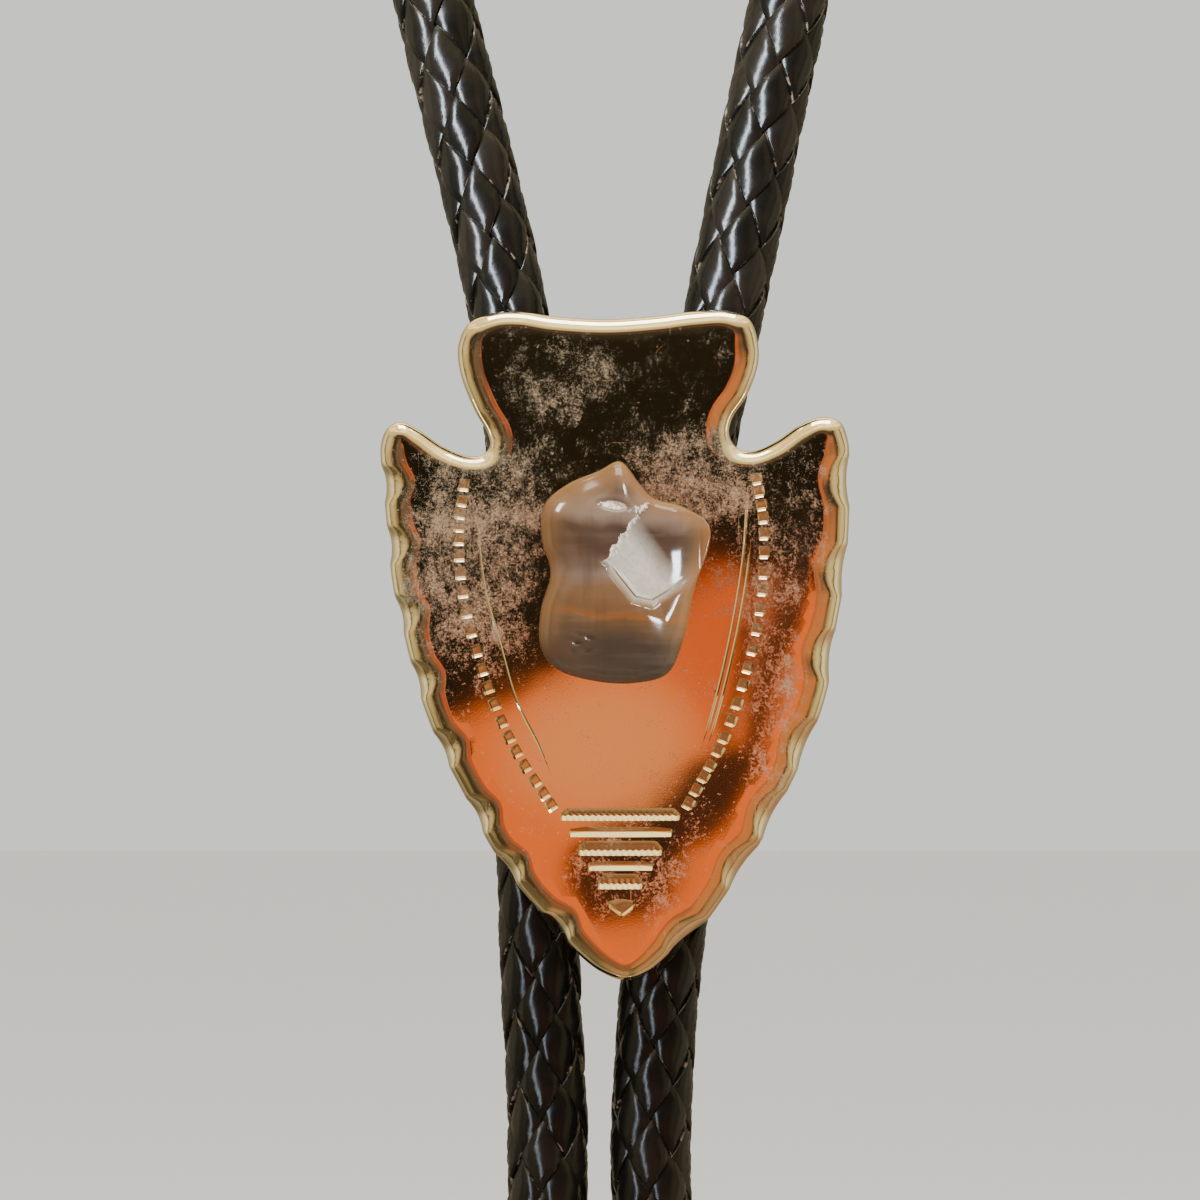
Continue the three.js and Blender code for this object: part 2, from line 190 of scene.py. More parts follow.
def paint(piece, attribute, values):
    """Stores one number a vertex on the piece, for its material to read."""
    layer = piece.data.attributes.new(attribute, "FLOAT", "POINT")
    layer.data.foreach_set("value", np.asarray(values, np.float32))


def cord_axes(line):
    """The way out from the neck and the way across, at each point of a cord's line."""
    along = np.gradient(line, axis=0)
    along /= np.linalg.norm(along, axis=1, keepdims=True)
    out = np.stack([line[:, 0] - neck_middle[0], line[:, 1] - neck_middle[1], 0 * line[:, 0]], axis=1)
    out -= np.einsum("ij,ij->i", out, along)[:, None] * along
    out /= np.linalg.norm(out, axis=1, keepdims=True)
    return out, np.cross(along, out)


def braid(name, line, run, turn, seed):
    """The ten strands round a line, each a closed ribbon, and the core inside them.

    A strand of number k lies at the angle turn + a fifth of a circle * (k + share) + its sense * the
    run over the pitch. Its radius rises and falls with a squared-off cosine, half a turn for each
    strand of the other sense that it crosses, so the two senses take turns on top.
    """
    chance = np.random.default_rng(seed)
    out, across = cord_axes(line)
    share, height, cut = strand_section.T
    sides = len(share)
    points, quads, caps, edges, tone = [], [], [], [], []
    first = 0
    for sense in (1, -1):
        for k in range(strands_each_way):
            drift, level, width = (
                size * np.sin(run / chance.uniform(*span) + chance.uniform(0, 6.28))[:, None]
                for size, span in ((0.03, (9, 16)), (0.035, (4, 9)), (0.02, (5, 12)))
            )
            crossing = 2 * strands_each_way * run[:, None] / braid_pitch + sense * share
            wave = np.tanh(wave_squareness * np.cos(math.pi * crossing)) / math.tanh(wave_squareness)
            wave = sense * strand_wave * wave
            place = (k + drift + share * (1 + width)) / strands_each_way
            angle = 2 * math.pi * (place + sense * run[:, None] / braid_pitch) + turn
            radius = strand_centre + level + wave + height
            ring = (
                line[:, None] + (radius * np.cos(angle))[..., None] * out[:, None]
                + (radius * np.sin(angle))[..., None] * across[:, None]
            )
            points.append(ring.reshape(-1, 3))
            quads.append(grid_quads(len(line), sides, first))
            caps += end_caps(first, len(line), sides)
            edges.append(np.tile(cut, len(line)))
            tone.append(np.full(len(line) * sides, chance.uniform(0, 1)))
            first += len(line) * sides
    core_angle = (np.arange(core_sides) * 2 * math.pi / core_sides)[None, :, None]
    middle, out, across = (vectors[::core_stride][:, None] for vectors in (line, out, across))
    core = middle + core_radius * (np.cos(core_angle) * out + np.sin(core_angle) * across)
    core_rows = len(core)
    points.append(core.reshape(-1, 3))
    quads.append(grid_quads(core_rows, core_sides, first))
    caps += end_caps(first, core_rows, core_sides)
    edges.append(np.zeros(core_rows * core_sides))
    tone.append(np.zeros(core_rows * core_sides))
    piece = skin(name, np.vstack(points), np.vstack(quads), caps, sharp=60)
    paint(piece, "cut_edge", np.concatenate(edges))
    paint(piece, "strand_tone", np.concatenate(tone))
    return piece


class Tone:
    """A shader socket that takes part in sums: each operator adds its Math node."""

    def __init__(self, finish, socket):
        self.finish = finish
        self.socket = socket

    def math(self, operation, *others, clamp=False):
        values = dict(enumerate((self, *others)))
        return self.finish.node("ShaderNodeMath", {"operation": operation, "use_clamp": clamp}, values)

    def __add__(self, other):
        return self.math("ADD", other)

    def __mul__(self, other):
        return self.math("MULTIPLY", other)

    def __sub__(self, other):
        return self.math("SUBTRACT", other)

    def __rsub__(self, other):
        return self.finish.number(other).math("SUBTRACT", self)

    def __truediv__(self, other):
        return self.math("DIVIDE", other)

    __radd__ = __add__
    __rmul__ = __mul__

    def between(self, low, high):
        """0 below low, 1 above high and a smooth rise between them."""
        settings = {"interpolation_type": "SMOOTHSTEP"}
        sockets = {"Value": self, "From Min": low, "From Max": high}
        return self.finish.node("ShaderNodeMapRange", settings, sockets)

    def limited(self):
        """The value held between 0 and 1."""
        return self.math("ADD", 0.0, clamp=True)


class Finish:
    """A node tree under construction, for a material or for the room's light."""

    def __init__(self, tree):
        self.tree = tree
        tree.nodes.clear()

    @classmethod
    def material(cls, name):
        made = bpy.data.materials.new(name)
        made.use_nodes = True
        finish = cls(made.node_tree)
        finish.made = made
        return finish

    def node(self, kind, settings=None, sockets=None, output=0):
        """One node: its settings first, then the value or link of each named or numbered socket."""
        node = self.tree.nodes.new(kind)
        for key, value in (settings or {}).items():
            if key == "stops":
                self.fill_ramp(node.color_ramp, value)
            else:
                setattr(node, key, value)
        for key, value in (sockets or {}).items():
            if isinstance(value, Tone):
                self.tree.links.new(value.socket, node.inputs[key])
            else:
                node.inputs[key].default_value = value
        return Tone(self, node.outputs[output]) if node.outputs else None

    def fill_ramp(self, ramp, stops):
        while len(ramp.elements) < len(stops):
            ramp.elements.new(1.0)
        for element, (place, colour) in zip(ramp.elements, stops):
            element.position = place
            element.color = (*colour, 1)

    def number(self, value):
        return self.node("ShaderNodeMath", {"operation": "ADD"}, {0: value, 1: 0.0})

    def place(self):
        """The point's own place on the object, in metres."""
        return self.node("ShaderNodeTexCoord", output="Object")

    def stretched(self, vector, scale, turn=(0, 0, 0), shift=(0, 0, 0)):
        """A place scaled, turned and moved, for a pattern that is drawn out."""
        sockets = {"Vector": vector, "Location": shift, "Rotation": turn, "Scale": scale}
        return self.node("ShaderNodeMapping", None, sockets)

    def noise(self, vector, scale, detail=2.0, roughness=0.5):
        sockets = {"Vector": vector, "Scale": scale, "Detail": detail, "Roughness": roughness}
        return self.node("ShaderNodeTexNoise", None, sockets)

    def split(self, vector):
        node = self.node("ShaderNodeSeparateXYZ", None, {"Vector": vector}).socket.node
        return [Tone(self, node.outputs[k]) for k in range(3)]

    def mix(self, factor, low, high, blend="MIX"):
        """The low colour where the factor is 0 and the high one where it is 1."""
        colours = [value if isinstance(value, Tone) else (*value, 1) for value in (low, high)]
        settings = {"data_type": "RGBA", "blend_type": blend}
        return self.node("ShaderNodeMix", settings, {0: factor, 6: colours[0], 7: colours[1]}, output=2)

    def stored(self, attribute):
        """What paint has stored on the piece."""
        return self.node("ShaderNodeAttribute", {"attribute_name": attribute}, output="Fac")

    def bump(self, height, depth, strength=1.0):
        """The normal of a surface raised by the height times the depth, in millimetres."""
        sockets = {"Height": height, "Distance": depth / 1000, "Strength": strength}
        return self.node("ShaderNodeBump", None, sockets)

    def surface(self, **sockets):
        """The shader itself, with the names' underscores read as spaces, and the material's output."""
        named = {key.replace("_", " "): value for key, value in sockets.items()}
        for key, value in named.items():
            if isinstance(value, tuple) and len(value) == 3 and key != "Subsurface Radius":
                named[key] = (*value, 1)
        shader = self.node("ShaderNodeBsdfPrincipled", None, named)
        self.node("ShaderNodeOutputMaterial", None, {"Surface": shader})
        return self.made


def wear(piece, material):
    """Puts a material on a piece."""
    piece.data.materials.clear()
    piece.data.materials.append(material)


# Black dressed lace: nearly black, each strand of its own tone, with a fine grain and paler fibres
# where a strand's edge was cut
lace = Finish.material("black_lace")
spot = lace.place()
grain = lace.noise(spot, 2600, 3.0)
mottle = lace.noise(spot, 420, 2.0)
tone = lace.stored("strand_tone")
cut = lace.stored("cut_edge")
fray = (cut * lace.noise(spot, 900, 3.0, 0.7).between(0.45, 0.68)).between(0.25, 0.9)
paler = (tone * 0.5 + mottle * 0.5).between(0.3, 0.8)
skin_tone = lace.mix(paler, (0.0035, 0.0032, 0.0026), (0.010, 0.0075, 0.0055))
black_lace = lace.surface(
    Base_Color=lace.mix(fray, skin_tone, (0.16, 0.11, 0.07)),
    Roughness=(mottle * 0.14 + grain * 0.06 + fray * 0.4 + 0.14).limited(),
    Specular_IOR_Level=0.3,
    Sheen_Weight=0.055,
    Sheen_Roughness=0.35,
    Sheen_Tint=(0.62, 0.52, 0.38),
    Normal=lace.bump(grain * 0.6 + mottle * 0.8, 0.05, 0.5),
)

# The pitch is set so that a diamond's middle lies at its height in the photograph on either side
neck_line = smooth_curve(neck_route, step=braid_step)
neck_run = np.arange(len(neck_line)) * braid_step
half_way = len(neck_line) // 2
first_run = neck_run[abs(neck_line[:half_way, 2] - diamond_heights[0]).argmin()]
last_run = neck_run[half_way + abs(neck_line[half_way:, 2] - diamond_heights[1]).argmin()]
whole_diamonds = round((last_run - first_run) * strands_each_way / braid_pitch)
braid_pitch = (last_run - first_run) * strands_each_way / whole_diamonds
laces = []
cuts = np.linspace(0, len(neck_line) - 1, len(neck_pieces) + 1).astype(int)
for k, name in enumerate(neck_pieces):
    part = slice(cuts[k], cuts[k + 1] + 1)
    piece = braid(name, neck_line[part], neck_run[part] - first_run, braid_turn, seed=7)
    wear(piece, black_lace)
    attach(piece, "root")
    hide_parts("neck_cord")
    laces.append(piece)

# Each tail hangs free from the clip and ends in its metal tip
tails = []
for side, route in (("left", left_tail_route), ("right", right_tail_route)):
    line = smooth_curve(route, step=braid_step)
    piece = braid(f"braided_tail_{side}", line, np.arange(len(line)) * braid_step, braid_turn, seed=11)
    wear(piece, black_lace)
    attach(piece, "root")
    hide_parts(f"tail_{side}")
    tails.append(piece)
    [tuple(p) for p in line / 1000]


# The slide: a sheet of brass stamped into an arrowhead, hollow behind, its rim rolled back, its long
# edges dented like flaked flint, plated pale gold and polished. Its shares are of width and height.
slide_width = 36.0
slide_height = 51.4
slide_depth = 2.2
sheet = 0.9
rim_roll = 1.3
rim_drop = 1.1
back_roll = 0.6
dome_fall = 0.25
edge_steps = 640
roll_rows = 14
cut_round = 0.12
scar_bite = 0.24
scar_dent = 0.48
face_pitch = 0.55
row_gap = 0.866
left_scar_size = 1.0
right_scar_size = 1.4
back_plane = -143.45
left_edge = [
    (-0.02, 0.488), (-0.138, 0.493), (-0.202, 0.5), (-0.26, 0.498), (-0.313, 0.481), (-0.334, 0.45),
    (-0.33, 0.408), (-0.298, 0.35), (-0.272, 0.318), (-0.267, 0.299), (-0.283, 0.2855),
    (-0.318, 0.284), (-0.37, 0.299), (-0.42, 0.323), (-0.458, 0.335), (-0.487, 0.324), (-0.5, 0.298),
    (-0.495, 0.245), (-0.487, 0.18), (-0.474, 0.09), (-0.448, 0.01), (-0.418, -0.07),
    (-0.375, -0.15), (-0.32, -0.225), (-0.265, -0.3), (-0.2, -0.365), (-0.14, -0.412),
    (-0.085, -0.456), (-0.03, -0.487),
]
right_edge = [
    (0.09, 0.493), (0.17, 0.5), (0.245, 0.501), (0.287, 0.488), (0.305, 0.455), (0.305, 0.42),
    (0.28, 0.372), (0.25, 0.34), (0.244, 0.315), (0.262, 0.295), (0.295, 0.291), (0.345, 0.306),
    (0.395, 0.33), (0.44, 0.342), (0.48, 0.335), (0.497, 0.308), (0.501, 0.25), (0.499, 0.18),
    (0.49, 0.1), (0.47, 0.02), (0.455, -0.06), (0.415, -0.145), (0.362, -0.225), (0.305, -0.3),
    (0.243, -0.365), (0.185, -0.42), (0.125, -0.455), (0.07, -0.488),
]
point = (0.024, -0.5)
ears_start = 0.28
left_scars = (0.24, 0.15, 0.046, -0.05, -0.155, -0.256, -0.334, -0.423)
right_scars = (0.247, 0.113, -0.013, -0.148, -0.252, -0.334, -0.438)


def on_slide(shares):
    """Places given as shares of the slide's width and height, in millimetres."""
    return np.asarray(shares, float) * (slide_width, slide_height)


def face_height(x, y):
    """The face's height: the slide's depth less dome_fall times the sum of the squares of both
    distances, each over half the slide's size."""
    return slide_depth - dome_fall * ((x / (slide_width / 2)) ** 2 + (y / (slide_height / 2)) ** 2)


def hung(points):
    """Points of the slide's own plane, in the tie's frame."""
    x, y, z = np.asarray(points, float).T
    return np.stack([slide_centre[0] + x, back_plane - z, slide_centre[2] + y], axis=-1)


def inwards(loop, smooth):
    """The way in from each point of a loop that runs anticlockwise, averaged over its neighbours."""
    along = np.roll(loop, -1, 0) - np.roll(loop, 1, 0)
    way = np.stack([-along[:, 1], along[:, 0]], axis=1)
    way /= np.linalg.norm(way, axis=1, keepdims=True)
    kernel = np.exp(-((np.arange(-3 * smooth, 3 * smooth + 1) / smooth) ** 2) / 2)
    around = np.arange(len(loop))[:, None] + np.arange(-3 * smooth, 3 * smooth + 1)
    way = (way[around % len(loop)] * kernel[None, :, None]).sum(1)
    return way / np.linalg.norm(way, axis=1, keepdims=True)


def slide_blank():
    """The rim as a grid of loops round the slide's edge, from the face over the roll to the back.

    The roll is a quarter of an ellipse, rim_roll wide and rim_drop high, and wider where the edge runs
    upright. Each scar bites into the outline and lowers the roll by a dent that is deepest at the edge
    and narrows inwards. The back repeats the roll one sheet lower.
    """
    edge = smooth_curve(on_slide(left_edge + [point] + right_edge[::-1]), count=edge_steps, closed=True)
    low = edge[:, 1] < ears_start * slide_height
    scars, sizes = [], []
    for side, ups in ((-1, left_scars), (1, right_scars)):
        for up in ups:
            gap = np.where(low & (edge[:, 0] * side > 0), abs(edge[:, 1] - up * slide_height), np.inf)
            scars.append(edge[gap.argmin()])
            sizes.append(left_scar_size if side < 0 else right_scar_size)
    far = np.linalg.norm(edge[:, None] - np.array(scars)[None], axis=2) / np.array(sizes)[None]
    near = far.min(axis=1)
    way = inwards(edge, 6)
    roll = rim_roll + 0.7 * way[:, 0] ** 2 + 0.3 * np.exp(-((near / 1.5) ** 2))
    bite = scar_bite * np.clip(1 - (near / 1.4) ** 2, 0, 1)
    edge = edge + inwards(edge, 1) * bite[:, None]

    def dent(inset):
        left = np.clip(1 - inset / roll, 0, 1)
        return scar_dent * np.clip(1 - (near / (1.35 * left + 0.4)) ** 2, 0, 1) ** 1.4 * left**2.4

    def ring(inset, height):
        place = edge + way * np.broadcast_to(inset, near.shape)[:, None]
        if callable(height):
            height = height(place[:, 0], place[:, 1])
        return np.column_stack([place, np.broadcast_to(height, near.shape)])

    edge_height = face_height(edge[:, 0], edge[:, 1]) - rim_drop - dent(0 * near)
    front = [ring(0.0, edge_height * share) for share in (0.12, 0.4, 0.7)]
    for turn in np.linspace(0, math.pi / 2, roll_rows):
        inset = roll * (1 - math.cos(turn))
        drop = rim_drop * (1 - math.sin(turn)) + dent(inset)
        front.append(ring(inset, lambda x, y: face_height(x, y) - drop))

    back = [ring(cut_round, 0.0), ring(sheet - cut_round, 0.0), ring(sheet, cut_round)]
    for turn in np.radians((0, 25, 50, 75)):
        inset = sheet + back_roll * (1 - math.cos(turn))
        drop = sheet + back_roll * (1 - math.sin(turn)) + dent(inset)
        back.append(ring(inset, lambda x, y: face_height(x, y) - drop))
    back.append(ring(roll, lambda x, y: face_height(x, y) - sheet))
    return np.array(front[::-1] + back)


def filled(loop, pitch):
    """The inside of a plane loop, as points and the triangles that join them to the loop.

    The points lie in rows a pitch apart, every second row moved by half a pitch. A point is inside
    where a ray to its right crosses the loop an odd number of times, and none lies within half a
    pitch of the loop.
    """
    low, high = loop.min(0), loop.max(0)
    gx, gy = np.meshgrid(np.arange(low[0], high[0], pitch), np.arange(low[1], high[1], pitch * row_gap))
    gx[1::2] += pitch / 2
    grid = np.column_stack([gx.ravel(), gy.ravel()])
    a, b = loop, np.roll(loop, -1, 0)
    spans = (a[:, 1] > grid[:, 1:]) != (b[:, 1] > grid[:, 1:])
    rise = np.where(b[:, 1] == a[:, 1], 1e-9, b[:, 1] - a[:, 1])
    crossing = a[:, 0] + (grid[:, 1:] - a[:, 1]) * (b[:, 0] - a[:, 0]) / rise
    inside = (spans & (grid[:, :1] < crossing)).sum(1) % 2 == 1
    clear = np.linalg.norm(grid[:, None] - loop[None], axis=2).min(1) > pitch / 2
    grid = grid[inside & clear]
    every = [Vector(p) for p in np.vstack([loop, grid])]
    _, _, faces, origin, _, _ = delaunay_2d_cdt(every, [], [list(range(len(loop)))], 1, 1e-6)
    origin = np.array([ids[0] for ids in origin])
    return grid, origin[np.array(faces)]


band = slide_blank()
loop = band[0, :, :2]
grid, triangles = filled(loop, face_pitch)
height = face_height(grid[:, 0], grid[:, 1])
band_points = band.reshape(-1, 3)
total = len(band_points)
round_edge = np.arange(edge_steps)
on_face = np.arange(len(grid))
front_index = np.concatenate([round_edge, total + on_face])
back_index = np.concatenate([total - edge_steps + round_edge, total + len(grid) + on_face])
quads = grid_quads(len(band), edge_steps)
fills = np.vstack([front_index[triangles][:, ::-1], back_index[triangles]])
points = np.vstack([band_points, np.column_stack([grid, height]), np.column_stack([grid, height - sheet])])
slide = skin("stamped_slide", hung(points), quads, triangles=fills)


# The ornament is struck into the face: two rows of squares, five bars and a small triangle, each with
# a long slope down from the top and a short steep wall at the bottom. Lines and scratches are scribed
# with a V.
punch_width = 0.84
punch_length = 0.98
punch_depth = 0.22
left_row = [
    (-0.322, 0.24), (-0.332, 0.17), (-0.326, 0.09), (-0.306, 0.02), (-0.27, -0.063), (-0.21, -0.158),
    (-0.136, -0.237),
]
right_row = [
    (0.302, 0.249), (0.316, 0.19), (0.316, 0.1), (0.302, 0.024), (0.276, -0.05), (0.233, -0.137),
    (0.157, -0.235),
]
left_gaps = (
    16, 13, 13, 13, 16, 18, 19.5, 20.5, 19.5, 20.5, 20, 18.5, 18, 19.5, 17, 16, 17.5, 18, 15.5, 13.5,
)
right_gaps = (
    13, 13.5, 13, 16, 19, 20, 17, 20, 20.5, 20.5, 18.5, 18.5, 19, 18, 18.5, 15, 17, 13, 15, 15.5,
)
bar_lengths = (9.2, 7.9, 6.45, 5.0, 3.45)
bar_centres = (-12.9, -14.25, -15.5, -16.85, -18.05)
bar_heights = (1.0, 0.8, 1.15, 0.75, 1.2)
bar_middle = 0.43
tooth_pitch = 0.49
toothed_depth = 0.27
plain_depth = 0.24
arrow_place = (0.55, -19.9)
arrow_depth = 0.26
line_steps = 36
row_steps = 400
above_face = 0.5
hard_edge_angle = 24


def stamp(across, share, top, deep, low, depth, place, turn):
    """One tool: at each station across it, a profile that starts above the face, slopes from the top
    down to the depth at the deep line and rises at the low line, times the station's share."""
    across, share, top, deep, low = np.broadcast_arrays(across, share, top, deep, low)
    profile = [
        (top + 0.05, 0 * share + above_face), (top, 0 * share),
        (top - 0.1 * (top - deep), -0.18 * depth * share),
        (deep + 0.04, -depth * share), (deep - 0.02, -depth * share),
        (low, 0 * share), (low - 0.05, 0 * share + above_face),
    ]
    v = np.array([p[0] for p in profile]).T
    z = np.array([p[1] for p in profile]).T
    u = np.repeat(across[:, None], v.shape[1], axis=1)
    cosine, sine = math.cos(turn), math.sin(turn)
    x = place[0] + u * cosine - v * sine
    y = place[1] + u * sine + v * cosine
    return np.stack([x, y, face_height(place[0], place[1]) + z], axis=-1)


def square_punch(place, turn, long, side):
    """A square with sloped walls at its ends, the wider one towards the slide's edge, and a steep wall
    at its foot."""
    half = punch_width / 2
    across = np.array([-half, -half + 0.09, half - 0.19, half])
    if side < 0:
        across = -across[::-1]
    share = np.array([0.0, 1, 1, 0])
    half_long = long / 2
    return stamp(across, share, half_long, -half_long + 0.26, -half_long, punch_depth, place, turn)


def bar(length, height, middle, toothed):
    """A level bar with rounded ends. Where it is toothed, every second station lies lower and is
    struck a fifth less deep."""
    half = length / 2
    if toothed:
        teeth = int(round(length / tooth_pitch))
        inner = np.linspace(-half + 0.12, half - 0.12, 2 * teeth + 1)
        odd = np.arange(2 * teeth + 1) % 2
        wave = 0.06 - 0.12 * odd
    else:
        inner = np.linspace(-half + 0.1, half - 0.1, 8)
        odd = wave = np.zeros(8)
    across = np.concatenate([[-half], inner, [half]])
    wave = np.concatenate([[0], wave, [0]])
    share = np.concatenate([[0], 1 - 0.2 * odd, [0]])
    corner = np.clip((abs(across) - half + 0.6) / 0.6, 0, 1) ** 2 * (0.55 if toothed else 0.25)
    top = height / 2 - corner * height
    low = -height / 2 + 0.3 * wave
    deep = -height / 2 + 0.42 + wave
    top = np.maximum(top, deep + 0.12)
    depth = toothed_depth if toothed else plain_depth
    return stamp(across, share, top, deep, low, depth, (bar_middle, middle), 0.0)


def hairline(chosen, width=0.36, depth=0.067):
    """A scribed line: a V-shaped groove carried along a curve on the face."""
    line = smooth_curve(on_slide(chosen), count=line_steps)
    along = np.gradient(line, axis=0)
    along /= np.linalg.norm(along, axis=1, keepdims=True)
    side = np.stack([-along[:, 1], along[:, 0]], axis=1)
    from_end = np.minimum(np.arange(line_steps), np.arange(line_steps)[::-1])
    fade = np.clip(from_end / 4, 0.1, 1)
    height = face_height(line[:, 0], line[:, 1])
    rings = []
    for off, rise in ((0.5, 0.05), (0.0, -1.0), (-0.5, 0.05)):
        place = line + side * (off * width * fade)[:, None]
        lift = np.where(rise > 0, rise, rise * depth * fade)
        rings.append(np.column_stack([place, height + lift]))
    return np.array(rings).transpose(1, 0, 2)


tools = []
for side, row, gaps in ((-1, left_row, left_gaps), (1, right_row, right_gaps)):
    line = smooth_curve(on_slide(row), count=row_steps)
    places = np.concatenate([[0], np.cumsum(gaps)]) / np.sum(gaps) * (row_steps - 1)
    for n, k in enumerate(places):
        room = gaps[min(n, len(gaps) - 1)] * mm_per_pixel
        spot_on = line[int(round(k))]
        way = line[min(int(k) + 3, row_steps - 1)] - line[max(int(k) - 3, 0)]
        turn = math.atan2(way[1], way[0]) + math.pi / 2
        tools.append(square_punch(spot_on, turn, min(punch_length, room - 0.1), side))
for k, (length, height, middle) in enumerate(zip(bar_lengths, bar_heights, bar_centres)):
    tools.append(bar(length, height, middle, toothed=k % 2 == 0))
arrow_across = np.array([-1.0, -0.82, 0.0, 0.82, 1.0])
sideways = abs(arrow_across)
tools.append(stamp(
    arrow_across, np.array([0, 1, 1, 1, 0.0]), 0.52 - 0.15 * sideways, -0.62 + 0.75 * sideways,
    -1.0 + 0.85 * sideways, arrow_depth, arrow_place, 0.0,
))
scribed = [
    [(-0.292, 0.188), (-0.286, 0.13), (-0.272, 0.07), (-0.249, 0.015), (-0.21, -0.08), (-0.16, -0.151),
     (-0.134, -0.194)],
    [(0.283, 0.25), (0.279, 0.19), (0.272, 0.128), (0.247, 0.021), (0.2115, -0.0865), (0.181, -0.158)],
    [(0.289, 0.16), (0.282, 0.11), (0.26, 0.021), (0.226, -0.08), (0.195, -0.155)],
]
scratches = [
    [(-0.053, 0.397), (-0.03, 0.3965), (0.0, 0.395)], [(-0.01, 0.3035), (0.012, 0.303), (0.028, 0.3025)],
    [(0.086, 0.436), (0.094, 0.443), (0.104, 0.449)],
]
tools += [hairline(chosen) for chosen in scribed]
tools += [hairline(chosen, 0.08, 0.03) for chosen in scratches]

# Every tool is turned so that its volume is positive before they are joined
points, quads, caps, first = [], [], [], 0
for tool in tools:
    stations, sides = tool.shape[:2]
    places = tool.reshape(-1, 3)
    points.append(places)
    face = grid_quads(stations, sides, first)
    ends = end_caps(first, stations, sides)
    p = (places - places.mean(0))[face - first]
    fans = np.concatenate([p[:, :3], p[:, [0, 2, 3]]])
    if np.einsum("ij,ij->i", fans[:, 0], np.cross(fans[:, 1], fans[:, 2])).sum() < 0:
        face = face[:, ::-1]
        ends = [end[::-1] for end in ends]
    quads.append(face)
    caps += ends
    first += stations * sides
stamps = skin("stamps", hung(np.vstack(points)), np.vstack(quads), caps)

# The struck faces carry a second material number through the cut, so that the edges between them and
# the plain face can be marked as hard ones, and lose it again
for mesh in (slide.data, stamps.data):
    mesh.materials.append(None)
    mesh.materials.append(None)
stamps.data.polygons.foreach_set("material_index", np.ones(len(stamps.data.polygons), int))
struck = slide.modifiers.new("struck", "BOOLEAN")
struck.operation = "DIFFERENCE"
struck.solver = "EXACT"
struck.use_self = True
struck.object = stamps
bpy.context.view_layer.update()
finished = bpy.data.meshes.new_from_object(slide.evaluated_get(bpy.context.evaluated_depsgraph_get()))
slide.modifiers.clear()
slide.data = finished
bpy.data.objects.remove(stamps)
finished.set_sharp_from_angle(angle=math.radians(hard_edge_angle))


def values_of(rows, key, kind=int):
    """One value of every row of a mesh's table, as an array."""
    values = np.empty(len(rows), kind)
    rows.foreach_get(key, values)
    return values


struck_face = values_of(finished.polygons, "material_index")
corners = values_of(finished.polygons, "loop_total")
edge_of = values_of(finished.loops, "edge_index")
struck_sides = np.bincount(edge_of, np.repeat(struck_face, corners), len(finished.edges))
hard = finished.attributes["sharp_edge"].data
hard.foreach_set("value", values_of(hard, "value", bool) | (struck_sides == 1))
finished.polygons.foreach_set("material_index", 0 * struck_face)

# Pale gold plate over polished brass, with tarnish specks that lie thick round the stone's shoulders,
# fine scratches, and slightly uneven polish
plate = Finish.material("gold_plate")
spot = plate.place()
x, _, z = plate.split(spot)
right = x * 1000
height = (z - slide_centre[2] / 1000) * 1000


def stained(middle, size):
    """1 at the middle of an oval of the face, in millimetres, falling smoothly to 0."""
    dx, dy = (right - middle[0]) / size[0], (height - middle[1]) / size[1]
    return 1.0 - (dx * dx + dy * dy).between(0.05, 1.0)


fine = plate.noise(spot, 7500, 2.0, 0.6)
grit = plate.noise(spot, 3800, 2.0, 0.6)
cloud = plate.noise(spot, 420, 3.0, 0.62)
haze = 0.0
for middle, size, share in (
    ((-11.0, 7.0), (7.5, 12.0), 1.0), ((-5.5, 12.5), (3.5, 5.0), 0.35), ((6.3, 13.2), (6.5, 4.6), 1.0),
    ((9.0, 8.0), (5.0, 8.0), 0.45), ((14.5, 9.0), (3.5, 9.5), 0.5), ((12.0, -4.0), (3.2, 13.0), 0.6),
    ((1.5, -17.0), (6.5, 5.5), 0.5), ((-4.5, 21.0), (6.0, 4.5), 0.45), ((-3.5, 17.5), (1.2, 1.0), 0.9),
    ((0.0, 16.0), (12.0, 9.0), 0.22),
):
    haze = haze + stained(middle, size) * share
smear = plate.noise(plate.stretched(spot, (1500, 900, 900), turn=(0, 0.7, 0)), 1.0, 3.0)
speck = fine * 0.42 + grit * 0.30 + smear * 0.28 + (cloud - 0.5) * 0.42 + haze.limited() * 0.17
tarnish = speck.between(0.55, 0.93)
scatter = plate.noise(spot, 3300, 1.0).between(0.72, 0.76)
drawn_out = plate.stretched(spot, (2600, 900, 130), turn=(0, 0.9, 0))
scratch = plate.noise(drawn_out, 1.0, 2.0).between(0.715, 0.735)
dull = (tarnish * 0.85 + scatter * 0.3 + scratch * 0.2).limited()
polish = plate.noise(spot, 90, 2.0)
gold_plate = plate.surface(
    Base_Color=plate.mix(dull, (0.97, 0.84, 0.58), (0.66, 0.53, 0.33)),
    Metallic=(1.0 - dull * 0.7),
    Roughness=(dull * 0.35 + tarnish * 0.1 + 0.035).limited(),
    Normal=plate.bump(polish + fine * 0.02, 0.05, 0.2),
)
wear(slide, gold_plate)
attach(slide, "root")
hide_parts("slide")


def refinish(node, material):
    """Gives a node of the frame, which keeps its own shape, a finished material."""
    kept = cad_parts[node]
    kept.data.materials.clear()
    kept.data.materials.append(material)


refinish("tip_left", gold_plate)
refinish("tip_right", gold_plate)

